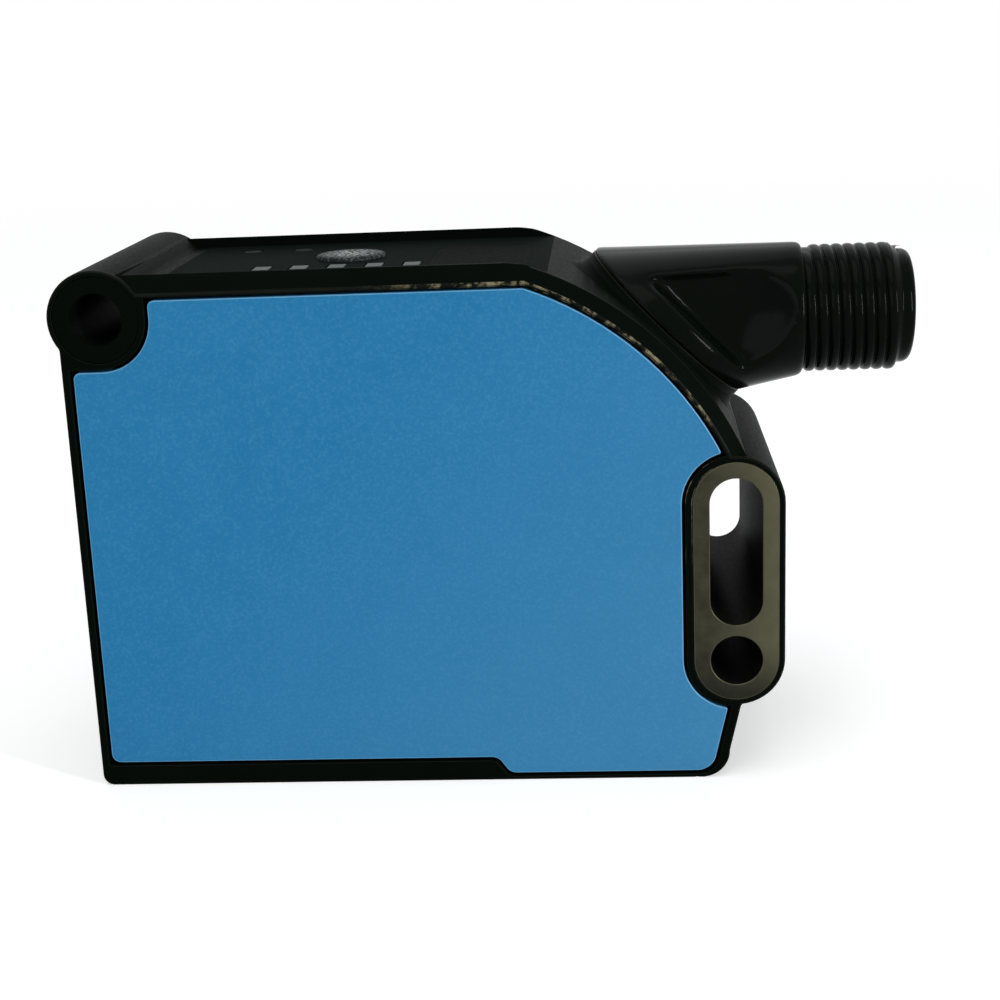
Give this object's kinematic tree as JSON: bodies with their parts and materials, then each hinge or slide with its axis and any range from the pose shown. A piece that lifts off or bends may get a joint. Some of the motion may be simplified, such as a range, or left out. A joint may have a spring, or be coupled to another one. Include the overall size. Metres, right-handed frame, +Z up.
{
  "type": "color sensor",
  "caption": "Flat block color sensor with side covers, cross mounting holes, an adjusting slot, a top control panel and a swivelling round threaded connector.",
  "frame": {"origin": "axis of the round corner mounting hole, at mid-depth of the housing", "axes": "+X towards the connector along the housing, +Y across the housing along the mounting holes, +Z up to the control panel"},
  "size_m": [0.074, 0.026, 0.047],
  "materials": {
    "frame_black": "satin moulded plastic",
    "cover_blue": "fine-grained blue coating",
    "seal_rubber": "matt rubber",
    "slot_metal": "dark olive-grey blasted metal",
    "corner_metal": "black anodised metal",
    "window_glass": "clear polished glass",
    "foil": "satin dark foil",
    "display_smoke": "smoked clear plastic",
    "display_block": "matt",
    "light_guide": "milky clear plastic",
    "status_grey": "milky grey plastic",
    "led_body": "pale resin",
    "button_pale": "pale grained plastic",
    "switch_black": "matt",
    "board_green": "solder mask",
    "screw_steel": "plated",
    "chip_black": "moulded epoxy",
    "capacitor_can": "drawn can",
    "optics_black": "dull black",
    "lens_glass": "clear polished glass",
    "header_white": "matt",
    "lead_sheath": "matt",
    "neck_black": "semi-gloss moulded plastic",
    "carrier_black": "matt",
    "pin_gold": "gold-plated",
    "ring_steel": "spring steel"
  },
  "bodies": {
    "housing": {"housing_frame": "frame_black", "left_cover": "cover_blue", "right_cover": "cover_blue", "left_cover_seal": "seal_rubber", "right_cover_seal": "seal_rubber", "window_gasket": "seal_rubber", "slot_sleeve": "slot_metal", "corner_sleeve": "corner_metal", "front_window": "window_glass", "control_foil": "foil", "display_window": "display_smoke", "display_module": "display_block", "indicator_light_guide": "light_guide", "status_lens_1": "status_grey", "status_lens_2": "status_grey", "indicator_led_1": "led_body", "indicator_led_2": "led_body", "indicator_led_3": "led_body", "indicator_led_4": "led_body", "indicator_led_5": "led_body", "status_led_1": "led_body", "status_led_2": "led_body", "color_emitter": "led_body", "teach_switch": "switch_black", "control_board": "board_green", "main_board": "board_green", "emitter_board": "board_green", "receiver_board": "board_green", "terminal_board": "board_green", "control_board_screws": "screw_steel", "main_board_screws": "screw_steel", "optics_screws": "screw_steel", "microcontroller": "chip_black", "signal_amplifier": "chip_black", "voltage_regulator": "chip_black", "output_driver": "chip_black", "color_receiver": "chip_black", "filter_capacitor": "capacitor_can", "optics_holder": "optics_black", "aperture_stop": "optics_black", "objective_lens": "lens_glass", "collimator_lens": "lens_glass", "receiver_lens": "lens_glass", "beam_splitter": "lens_glass", "terminal_header": "header_white"},
    "connector": {"connector_neck": "neck_black", "contact_carrier": "carrier_black", "connector_lead": "lead_sheath", "swivel_seal": "seal_rubber", "swivel_retaining_ring": "ring_steel", "contact_pin_1": "pin_gold", "contact_pin_2": "pin_gold", "contact_pin_3": "pin_gold", "contact_pin_4": "pin_gold", "contact_pin_5": "pin_gold"},
    "teach_button": {"teach_button": "button_pale"}
  },
  "joints": [
    {"name": "connector_swivel", "type": "hinge", "parent": "housing", "child": "connector", "pos_m": [0.04847, 0, -0.00373], "axis": [0.7071, 0, 0.7071], "range_deg": [0, 180]},
    {"name": "teach_press", "type": "slide", "parent": "housing", "child": "teach_button", "axis": [0, 0, -1], "range_m": [0, 0.0004], "stiffness_N_per_m": 3000, "springref_m": -0.0002}
  ]
}
